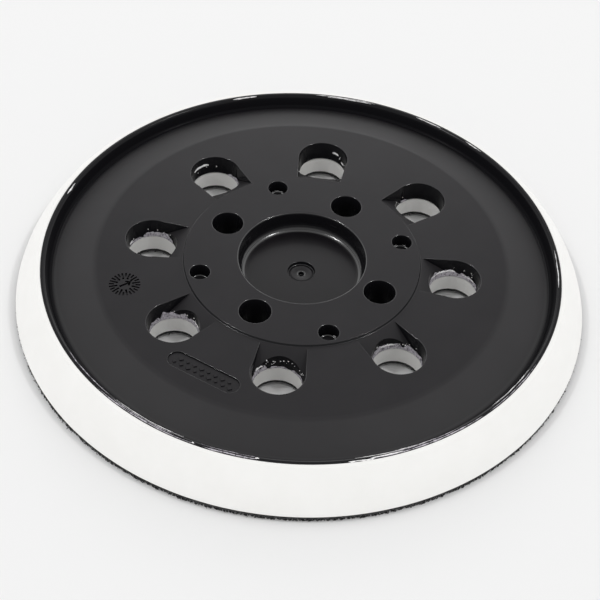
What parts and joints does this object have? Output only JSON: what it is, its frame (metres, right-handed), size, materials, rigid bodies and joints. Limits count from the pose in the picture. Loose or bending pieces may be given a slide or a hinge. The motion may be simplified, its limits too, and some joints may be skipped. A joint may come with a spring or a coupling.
{
  "type": "sander backing pad",
  "caption": "Round hook-and-loop backing pad for a random orbital sander: a black dished plate set in white foam, with screw sockets, dust holes and a fabric hook face.",
  "frame": {"origin": "middle of the hook face, which is the pad's lowest plane", "axes": "+Z from the hook face to the side that bolts to the sander; +X through one of the four screw sockets, so +Y passes through the next one"},
  "size_m": [0.123, 0.123, 0.0104],
  "materials": {
    "plate_nylon": "satin black moulded nylon with a fine spark-eroded grain",
    "pad_foam": "matt white moulded polyurethane foam with a closed skin and small pores",
    "bond_film": "thin dark hot-melt film",
    "hook_fabric": "black woven tape covered in small plastic hooks"
  },
  "bodies": {
    "root": {"backing_plate": "plate_nylon", "foam_pad": "pad_foam", "adhesive_film": "bond_film", "hook_disc": "hook_fabric"}
  },
  "joints": []
}
